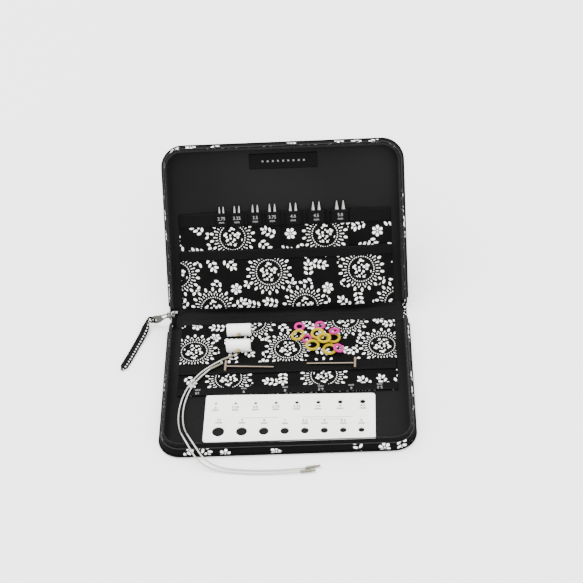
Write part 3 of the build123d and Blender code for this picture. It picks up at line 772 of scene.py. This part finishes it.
spine_lining = [
    spine_strip(line + "_spine_lining", line, SPINE_ENDS, (-SPINE_WIDTH / 2, SPINE_REACH), 3.0, 0.25, 0.3,
                satin)
    for line in FOLD_LINES
]
spine_cover = [
    spine_strip(line + "_spine_cover", line, COVER_ENDS, (-SPINE_WIDTH / 2, SPINE_REACH), 0.62, 0.0, 0.7,
                cotton["lower"])
    for line in FOLD_LINES
]
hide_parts("spine_lining")
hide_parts("spine_cover")


# Zip end. A web of the tape carries the end of the coil past the fold, beside the spine. It
# stands up to the zip where it starts, and is nearly flat past the fold.
WEB_MIDDLE = -98.9
WEB_BASE = 1.5
WEB_RISE = 6.8
WEB_SPREAD = 1.3
WEB_REACH = (-100.9, -95.4)
WEB_ENDS = (69.4, 87.9)
bm = bmesh.new()
bmesh.ops.create_grid(bm, x_segments=24, y_segments=24, size=0.5)
for vert in bm.verts:
    x = WEB_REACH[0] + (vert.co.x + 0.5) * (WEB_REACH[1] - WEB_REACH[0])
    y = WEB_ENDS[0] + (vert.co.y + 0.5) * (WEB_ENDS[1] - WEB_ENDS[0])
    rise = WEB_RISE * (1 - 0.85 * smooth_step((y - 71.5) / 3.5))
    vert.co = Vector((x, y, WEB_BASE + rise * math.exp(-((x - WEB_MIDDLE) / WEB_SPREAD) ** 2))) * MM
bmesh.ops.transform(bm, matrix=PLACES["lower"].inverted(), verts=bm.verts)
web = sew_in(bm, "zip_end_web", "lower", tape_finish)
skin = web.modifiers.new("thickness", "SOLIDIFY")
skin.thickness = 0.5 * MM
skin.offset = -1.0


# Woven label, and the size labels. Satin-stitched patches: numbers for the needle sizes, and a
# plain woven ornament on the large label.
def place_text(words, height, place, thickness=0.0, boldness=0.0):
    """Flat numerals as a mesh, centred, and put in place."""
    letters = bpy.data.curves.new("words", "FONT")
    letters.body = words
    letters.size = height
    letters.align_x = "CENTER"
    letters.align_y = "CENTER"
    letters.extrude = thickness
    letters.offset = boldness
    letters.resolution_u = 2
    letters.space_line = 0.85
    draft = bpy.data.objects.new("words", letters)
    mesh = bpy.data.meshes.new_from_object(draft)
    bpy.data.objects.remove(draft)
    mesh.transform(place)
    return mesh


def join_marks(name, body, finish, marks):
    """One piece from many small meshes."""
    bm = bmesh.new()
    for mesh in marks:
        bm.from_mesh(mesh)
    mesh = bpy.data.meshes.new(name)
    bm.to_mesh(mesh)
    bm.free()
    mesh.materials.append(finish)
    piece = bpy.data.objects.new(name, mesh)
    bpy.context.scene.collection.objects.link(piece)
    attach(piece, body)
    return piece


label_thread, shader, place, uv = new_finish("label_thread", Roughness=0.6)
rows = place.node("ShaderNodeTexNoise", {}, {"Vector": place, "Scale": 2200.0, "Detail": 2.0})
feed(shader, rows.mix((0.14, 0.14, 0.135, 1), (0.30, 0.30, 0.29, 1)), "Base Color")

BAND_LABELS = {
    "upper": ([-53.6, -40.4, -24.7, -10.1, 7.7, 27.4, 47.8], 77.6),
    "lower": ([74.0, 35.9, 2.0, -27.2, -52.2, -75.5], 76.3),
}
LABEL_WORDS = {
    "upper": ["2.75", "3.25", "3.5", "3.75", "4.0", "4.5", "5.0"],
    "lower": ["10", "9", "8", "6.5", "6", "5.5"],
}
LABEL_STITCH = 0.05
for half, (centres, along) in BAND_LABELS.items():
    height = POCKET_SHAPES[half][0]
    marks = []
    for x, number in zip(centres, LABEL_WORDS[half]):
        z = height(x, along) + RIBBON_CLOTH + 0.22
        for words, tall, rise in ((number, 3.9, 1.5), ("mm", 3.0, -1.7)):
            spot = Matrix.Translation(Vector((x, along, z)) * MM)
            spot = PLACES[half] @ spot @ Matrix.Translation((0, rise * MM, 0))
            marks.append(place_text(words, tall * MM, spot, LABEL_STITCH * MM))
    join_marks(half + "_size_labels", BODIES[half], label_thread, marks)

LABEL_SIZE = (58.0, 13.0)
LABEL_CENTRE = (1.0, 126.5)
LABEL_TOP = 3.45
bm = bmesh.new()
bmesh.ops.create_grid(bm, x_segments=58, y_segments=13, size=0.5)
for vert in bm.verts:
    x, y = vert.co.x * LABEL_SIZE[0], vert.co.y * LABEL_SIZE[1]
    edge = min(LABEL_SIZE[0] / 2 - abs(x), LABEL_SIZE[1] / 2 - abs(y))
    puff = 0.18 * smooth_step(edge / 1.6) + 0.05 * noise.noise(Vector((x * 0.3, y * 0.3, 4.0)))
    vert.co = Vector((LABEL_CENTRE[0] + x, LABEL_CENTRE[1] + y, LABEL_TOP - 0.1 + puff)) * MM
woven = sew_in(bm, "woven_patch", "upper", ribbon_finish, ("woven_label",))
skin = woven.modifiers.new("thickness", "SOLIDIFY")
skin.thickness = 0.35 * MM
skin.offset = -1.0
bm = bmesh.new()
ORNAMENT_COUNT = 9
ORNAMENT_PITCH = 4.4
for step in range(ORNAMENT_COUNT):
    x = LABEL_CENTRE[0] + (step - (ORNAMENT_COUNT - 1) / 2) * ORNAMENT_PITCH
    for turn, long in ((45, 1.5), (135, 1.5), (0, 0.8), (90, 0.8)):
        shape = Matrix.Translation(Vector((x, LABEL_CENTRE[1], LABEL_TOP + 0.2)) * MM)
        shape = shape @ Matrix.Rotation(math.radians(turn), 4, "Z")
        shape = shape @ Matrix.Diagonal((long * MM, 0.28 * MM, 0.12 * MM, 1))
        bmesh.ops.create_icosphere(bm, subdivisions=1, radius=1.0, matrix=shape)
sew_in(bm, "woven_ornament", "upper", label_thread)
bm = bmesh.new()
for side in (-1, 1):
    for step in range(16):
        x = LABEL_CENTRE[0] - 22.0 + step * 44.0 / 15
        shape = Matrix.Translation(Vector((x, LABEL_CENTRE[1] + side * 5.7, LABEL_TOP + 0.16)) * MM)
        shape = shape @ Matrix.Diagonal((1.0 * MM, 0.16 * MM, 0.12 * MM, 1))
        bmesh.ops.create_icosphere(bm, subdivisions=1, radius=1.0, matrix=shape)
sew_in(bm, "woven_patch_stitches", "upper", thread_finish)


# Board. Stiff grey card inside each half and the spine, hidden by the cloth.
card_finish, shader, place, uv = new_finish("grey_board", Roughness=0.9)
fibre = place.node("ShaderNodeTexNoise", {}, {"Vector": place, "Scale": 600.0, "Detail": 6.0})
feed(shader, fibre.mix((0.10, 0.095, 0.085, 1), (0.22, 0.21, 0.19, 1)), "Base Color")
relief(shader, fibre, 0.0001, 0.5)


def finish_node(name, finish):
    """Gives a node of the frame its material."""
    mesh = nodes[name].data
    mesh.materials.clear()
    mesh.materials.append(finish)


for name in ("lower_stiffener", "upper_stiffener", "spine_stiffener"):
    finish_node(name, card_finish)


# Needle tips. Brushed, polished stainless tube with a tapered point and a threaded bore.
steel, shader, place, uv = new_finish("brushed_steel", Metallic=1.0)
turned = place.node("ShaderNodeMapping", {},
                    {"Vector": place, "Rotation": (-LID_ANGLE, 0, 0), "Scale": (1, 0.02, 1)})
brushing = turned.node("ShaderNodeTexNoise", {}, {"Vector": turned, "Scale": 3500.0, "Detail": 2.0})
feed(shader, brushing.mix((0.20, 0.20, 0.185, 1), (0.36, 0.355, 0.34, 1)), "Base Color")
feed(shader, 0.20 + brushing * 0.16, "Roughness")
relief(shader, brushing, 0.00002, 0.35)
for name, node in nodes.items():
    if name.startswith("tip_"):
        finish_node(name, steel)


# Needle gauge. A white plastic card with a fine matt grain, its sizes printed beside the holes.
card_white, shader, place, uv = new_finish("gauge_plastic", Roughness=0.42)
mottle = place.node("ShaderNodeTexNoise", {}, {"Vector": place, "Scale": 90.0, "Detail": 3.0})
feed(shader, mottle.mix((0.80, 0.81, 0.77, 1), (0.87, 0.88, 0.85, 1)), "Base Color")
grain = place.node("ShaderNodeTexNoise", {}, {"Vector": place, "Scale": 2600.0})
relief(shader, grain, 0.00003, 0.3)
finish_node("needle_gauge", card_white)

print_ink, shader, place, uv = new_finish("gauge_print", Roughness=0.5)
smudge = place.node("ShaderNodeTexNoise", {}, {"Vector": place, "Scale": 700.0, "Detail": 3.0})
feed(shader, smudge.mix((0.006, 0.006, 0.006, 1), (0.03, 0.03, 0.03, 1)), "Base Color")

GAUGE_CENTRE = (1.9, -36.4)
GAUGE_TURN = math.radians(-1.3)
GAUGE_WIDTH = 138.0
GAUGE_TOP = 4.05
GAUGE_ROWS = [
    # hole sizes, first hole's place from the left edge, web, row, numbers' row
    ([2.0, 2.25, 2.5, 2.75, 3.25, 3.5, 4.0, 4.5], 8.4, 14.0, 15.9, (11.6, 8.9)),
    ([10.0, 9.0, 8.0, 7.0, 6.5, 6.0, 5.5, 5.0], 11.9, 9.35, -13.9, (-4.4, -7.1)),
]
gauge_place = Matrix.Translation(Vector((*GAUGE_CENTRE, GAUGE_TOP)) * MM)
gauge_place = gauge_place @ Matrix.Rotation(GAUGE_TURN, 4, "Z")
marks = []
for sizes, start, web, row, number_rows in GAUGE_ROWS:
    x = start - GAUGE_WIDTH / 2
    for number, size in enumerate(sizes):
        for words, along in zip((f"{size:g}", "mm"), number_rows):
            if row < 0:
                along += 0.5 * size - 2.4
            spot = gauge_place @ Matrix.Translation(Vector((x, along, 0.03)) * MM)
            marks.append(place_text(words, 3.5 * MM, spot, 0.02 * MM, 0.09 * MM))
        if number + 1 < len(sizes):
            x += (size + sizes[number + 1]) / 2 + web
bm = bmesh.new()
for x, y, long in ((-24.0, 0.0, 30.0), (30.0, 0.0, 40.0), (30.0, -2.4, 26.0)):
    shape = gauge_place @ Matrix.Translation(Vector((x, y, 0.03)) * MM)
    shape = shape @ Matrix.Diagonal((long * MM, 0.35 * MM, 0.04 * MM, 1))
    bmesh.ops.create_cube(bm, size=1.0, matrix=shape)
rules = bpy.data.meshes.new("rules")
bm.to_mesh(rules)
bm.free()
join_marks("gauge_sizes", "gauge", print_ink, marks + [rules])


# Stoppers. White moulded plastic barrels, each with a brass boss that screws on to a cable.
moulded, shader, place, uv = new_finish("moulded_white", Roughness=0.35)
flow = place.node("ShaderNodeTexNoise", {}, {"Vector": place, "Scale": 140.0, "Detail": 2.0})
feed(shader, flow.mix((0.84, 0.84, 0.82, 1), (0.92, 0.92, 0.91, 1)), "Base Color")
feed(shader, 0.30 + flow * 0.15, "Roughness")
relief(shader, flow, 0.0002, 0.2)
brass, shader, place, uv = new_finish("pale_brass", Metallic=1.0)
cut = place.node("ShaderNodeTexNoise", {}, {"Vector": place, "Scale": 1500.0, "Detail": 3.0})
feed(shader, cut.mix((0.22, 0.17, 0.08, 1), (0.36, 0.29, 0.16, 1)), "Base Color")
feed(shader, 0.2 + cut * 0.2, "Roughness")
for name in ("stopper_back", "stopper_front"):
    finish_node(name + "_bar", moulded)
    finish_node(name + "_boss", brass)


# Keys. Bent wire tools that grip the cable while a tip is screwed tight.
key_finish, shader, place, uv = new_finish("key_steel", Metallic=1.0)
drawn = place.node("ShaderNodeTexNoise", {}, {"Vector": place, "Scale": 1200.0, "Detail": 3.0})
feed(shader, drawn.mix((0.15, 0.115, 0.085, 1), (0.27, 0.215, 0.165, 1)), "Base Color")
feed(shader, 0.24 + drawn * 0.2, "Roughness")
for name in ("key_left", "key_right"):
    finish_node(name, key_finish)


# Ring markers. Soft plastic rings, six yellow and five smaller pink ones, dropped in a heap on
# the lower half so that some lean on others.
RING_FLOOR = 4.6
RING_SIDES = 20
RING_STEPS = 56
RING_WIRE = {"markers_yellow": 1.15, "markers_pink": 1.2}
RINGS = {
    # middle radius, wire radius, and each ring's x, y, lift, tilt and heading
    "markers_yellow": (4.7, 1.4, [
        (8.6, 51.4, 1.7, 14.0, 180.0),
        (25.4, 52.0, 1.9, 0.0, 0.0),
        (20.8, 39.4, 1.5, 0.0, 0.0),
        (38.4, 48.4, 0.0, 0.0, 0.0),
        (35.0, 35.4, 0.0, 0.0, 0.0),
        (30.6, 43.6, 5.2, 6.0, 90.0),
    ]),
    "markers_pink": (3.5, 1.25, [
        (9.8, 62.8, 0.0, 0.0, 0.0),
        (27.2, 63.4, 0.0, 0.0, 0.0),
        (39.4, 53.4, 3.0, 18.0, 100.0),
        (16.0, 48.6, 0.0, 0.0, 0.0),
        (42.6, 34.6, 1.9, 22.0, 0.0),
    ]),
}
for name, low, high in (("markers_yellow", (0.30, 0.215, 0.0, 1), (0.38, 0.28, 0.0, 1)),
                        ("markers_pink", (0.34, 0.008, 0.14, 1), (0.42, 0.014, 0.19, 1))):
    ring_finish, shader, place, uv = new_finish(name + "_plastic", Roughness=0.3)
    cloud = place.node("ShaderNodeTexNoise", {}, {"Vector": place, "Scale": 160.0, "Detail": 2.0})
    feed(shader, cloud.mix(low, high), "Base Color")
    feed(shader, 0.24 + cloud * 0.14, "Roughness")
    shader.inputs["Subsurface Weight"].default_value = 0.15
    shader.inputs["Subsurface Radius"].default_value = (0.002, 0.001, 0.0005)
    shader.inputs["Specular IOR Level"].default_value = 0.10
    bm = bmesh.new()
    for x, y, lift, tilt, heading in RINGS[name][2]:
        radius, wire = RINGS[name][:2]
        spot = Matrix.Translation(Vector((x, y, RING_FLOOR + lift + wire)) * MM)
        spot = spot @ Matrix.Rotation(math.radians(heading), 4, "Z")
        spot = spot @ Matrix.Rotation(math.radians(tilt), 4, "Y")
        ring = bmesh.ops.create_circle(bm, segments=RING_SIDES, radius=RING_WIRE[name] * MM)
        rim = radius + wire - RING_WIRE[name]
        bmesh.ops.rotate(bm, verts=ring["verts"], matrix=Matrix.Rotation(math.pi / 2, 3, "X"))
        bmesh.ops.translate(bm, verts=ring["verts"], vec=(rim * MM, 0, 0))
        edges = [edge for edge in bm.edges if not edge.verts[0].tag]
        bmesh.ops.spin(bm, geom=ring["verts"] + edges, cent=(0, 0, 0), axis=(0, 0, 1),
                       angle=2 * math.pi, steps=RING_STEPS, use_merge=True)
        bmesh.ops.transform(bm, matrix=spot, verts=[vert for vert in bm.verts if not vert.tag])
        for vert in bm.verts:
            vert.tag = True
    bmesh.ops.recalc_face_normals(bm, faces=bm.faces)
    mesh = bpy.data.meshes.new(name + "_rings")
    bm.to_mesh(mesh)
    bm.free()
    for face in mesh.polygons:
        face.use_smooth = True
    mesh.materials.append(ring_finish)
    rings = bpy.data.objects.new(name + "_rings", mesh)
    bpy.context.scene.collection.objects.link(rings)
    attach(rings, "ring_markers")
    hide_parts(name)


# Slider and puller. Die-cast zinc with a dark nickel finish, a little uneven in tone and shine.
# Their shape is the frame's own.
zinc, shader, place, uv = new_finish("dark_nickel", Metallic=1.0)
worn = place.node("ShaderNodeTexNoise", {}, {"Vector": place, "Scale": 500.0, "Detail": 5.0})
feed(shader, worn.mix((0.040, 0.043, 0.036, 1), (0.115, 0.12, 0.105, 1)), "Base Color")
feed(shader, 0.24 + worn * 0.24, "Roughness")
relief(shader, worn, 0.00005, 0.3)
for name in ("zip_slider", "zip_puller"):
    finish_node(name, zinc)


# Wrist strap. A strip of the cover's cotton, folded and stitched, looped through the puller's eye.
STRAP_WIDTH = 6.4
STRAP_TURN = math.radians(174.0)
STRAP_DROOP = math.radians(29.0)
PULLER_PIVOT = Vector((-103.05, 75.5, 12.0))
fallen = Vector((math.cos(STRAP_TURN) * math.cos(STRAP_DROOP), math.sin(STRAP_TURN),
                 math.cos(STRAP_TURN) * math.sin(STRAP_DROOP)))
STRAP_EYE = PULLER_PIVOT + fallen * 13.1
strap_finish, shader, place, uv = new_finish("strap_cotton", Roughness=0.8)
inches = uv.node("ShaderNodeSeparateXYZ", {}, {"Vector": uv})
run = Dye(inches.tree, inches.socket.node.outputs["Y"]) * 1000.0
side = (inches * 1000.0 + 1.5) / 0.62
part = (run / 3.0).maths("FRACT", run / 3.0) - 0.5
dots = (side * side + part * part * 18.0) < 1.0
tone = place.node("ShaderNodeTexNoise", {}, {"Vector": place, "Scale": 150.0, "Detail": 3.0})
ground = tone.mix((0.0018, 0.0018, 0.0018, 1), (0.0042, 0.0042, 0.0042, 1))
feed(shader, dots.mix(ground, (0.62, 0.62, 0.60, 1)), "Base Color")
relief(shader, weave_height(place, 0.00045), 0.00012, 0.6)
shader.inputs["Specular IOR Level"].default_value = 0.04


def strap_ribbon(name, route, widths, thickness):
    """A flat ribbon along a smooth route, with a gently scalloped edge."""
    line = bpy.data.curves.new(name, "CURVE")
    line.dimensions = "3D"
    line.resolution_u = 12
    spline = line.splines.new("NURBS")
    spline.points.add(len(route) - 1)
    for point, spot in zip(spline.points, route):
        point.co = (*(Vector(spot)), 1.0)
    spline.order_u = 3
    spline.use_endpoint_u = True
    draft = bpy.data.objects.new(name, line)
    path = [vert.co.copy() for vert in bpy.data.meshes.new_from_object(draft).vertices]
    bpy.data.objects.remove(draft)
    bm = bmesh.new()
    cross = 6
    bmesh.ops.create_grid(bm, x_segments=cross, y_segments=len(path) - 1, size=0.5)
    layer = bm.loops.layers.uv.verify()
    gone = [0.0]
    for here, there in zip(path, path[1:]):
        gone.append(gone[-1] + (there - here).length)
    places = {}
    for vert in bm.verts:
        step = round((vert.co.y + 0.5) * (len(path) - 1))
        share = vert.co.x * 2
        before, after = path[max(step - 1, 0)], path[min(step + 1, len(path) - 1)]
        along = (after - before).normalized()
        across = along.cross(Vector(widths[1])).normalized()
        up = across.cross(along)
        ends = smooth_step((gone[-1] - gone[step]) / 5.0) * 0.75 + 0.25
        ends *= smooth_step(gone[step] / 8.0) * 0.55 + 0.45
        scallop = 0.05 * math.sin(gone[step] * 2 * math.pi / 3.0) * (abs(share) > 0.9)
        wide = widths[0] / 2 * ends * (1 + scallop)
        lift = 0.30 * math.cos(share * math.pi) * thickness
        places[vert] = (share * widths[0] / 2, gone[step])
        vert.co = path[step] + across * share * wide + up * lift
    for face in bm.faces:
        for loop in face.loops:
            loop[layer].uv = Vector(places[loop.vert]) * MM
    bmesh.ops.scale(bm, verts=bm.verts, vec=(MM, MM, MM))
    mesh = bpy.data.meshes.new(name)
    bm.to_mesh(mesh)
    bm.free()
    for face in mesh.polygons:
        face.use_smooth = True
    mesh.materials.append(strap_finish)
    piece = bpy.data.objects.new(name, mesh)
    bpy.context.scene.collection.objects.link(piece)
    skin = piece.modifiers.new("thickness", "SOLIDIFY")
    skin.thickness = thickness * MM
    skin.offset = 0.0
    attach(piece, "wrist_strap")
    return piece


along = Vector((math.cos(STRAP_TURN), math.sin(STRAP_TURN), 0))
aside = Vector((-math.sin(STRAP_TURN), math.cos(STRAP_TURN), 0))
start = STRAP_EYE + along * 4.65 + aside * 2.28
tail = strap_ribbon("strap_tail", [
    STRAP_EYE + along * 5.6 + aside * 0.9 + Vector((0, 0, 0.6)),
    STRAP_EYE + along * 6.3 + aside * 3.4 + Vector((0, 0, -0.8)),
    Vector((start.x - 3.6, start.y - 8.0, 2.6)), Vector((start.x - 7.8, start.y - 18.5, 1.25)),
    Vector((start.x - 13.0, start.y - 33.0, 1.05)), Vector((start.x - 16.0, start.y - 41.0, 1.05)),
    Vector((start.x - 20.0, start.y - 51.0, 1.05)),
], (STRAP_WIDTH, (0, 0, 1)), 1.2)
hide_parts("wrist_strap")
LOOP_RADIUS = 3.0
LOOP_STEPS = 12
LOOP_CORD = 0.85
loop_spots = []
for step in range(LOOP_STEPS):
    turn = 2 * math.pi * step / LOOP_STEPS
    middle = STRAP_EYE + along * LOOP_RADIUS
    rise = Vector((0, 0, LOOP_RADIUS * math.sin(turn)))
    loop_spots.append(middle + along * -LOOP_RADIUS * math.cos(turn) + rise)
loop = bpy.data.curves.new("strap_loop", "CURVE")
loop.dimensions = "3D"
loop.bevel_depth = LOOP_CORD * MM
loop.bevel_resolution = 4
spline = loop.splines.new("NURBS")
spline.points.add(LOOP_STEPS - 1)
for point, spot in zip(spline.points, loop_spots):
    point.co = (*(spot * MM), 1.0)
spline.order_u = 3
spline.use_cyclic_u = True
loop.materials.append(strap_finish)
loop_piece = bpy.data.objects.new("strap_loop", loop)
bpy.context.scene.collection.objects.link(loop_piece)
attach(loop_piece, "wrist_strap")


# Floor and lights. A plain pale table, lit evenly from every side, with one soft lamp above and
# behind the case and a weaker one in front of it.
FLOOR_HALF = 6.0
FLOOR_DROP = 0.0004
STUDIO_STRENGTH = 3.0
LAMP_AIM = Vector((0, 0.05, 0))
floor_mesh = bpy.data.meshes.new("floor")
bm = bmesh.new()
bmesh.ops.create_grid(bm, x_segments=1, y_segments=1, size=FLOOR_HALF)
bmesh.ops.translate(bm, verts=bm.verts, vec=(0, 0, -FLOOR_DROP))
bm.to_mesh(floor_mesh)
bm.free()
floor_finish, shader, place, uv = new_finish("floor_paper", Roughness=0.9)
shader.inputs["Base Color"].default_value = (0.93, 0.93, 0.93, 1)
floor_mesh.materials.append(floor_finish)
floor = bpy.data.objects.new("floor", floor_mesh)
bpy.context.scene.collection.objects.link(floor)

world = bpy.data.worlds.new("studio")
bpy.context.scene.world = world
world.use_nodes = True
world.node_tree.nodes["Background"].inputs["Color"].default_value = (1, 1, 1, 1)
world.node_tree.nodes["Background"].inputs["Strength"].default_value = STUDIO_STRENGTH
for lamp_name, spot, size, power in (
    ("lamp_above", (-0.5, 0.5, 1.6), 1.4, 36.0),
    ("lamp_front", (0.9, -1.2, 1.3), 1.2, 16.0),
):
    lamp_data = bpy.data.lights.new(lamp_name, "AREA")
    lamp_data.size = size
    lamp_data.energy = power
    lamp = bpy.data.objects.new(lamp_name, lamp_data)
    lamp.location = spot
    lamp.rotation_euler = (LAMP_AIM - Vector(spot)).to_track_quat("-Z", "Y").to_euler()
    bpy.context.scene.collection.objects.link(lamp)
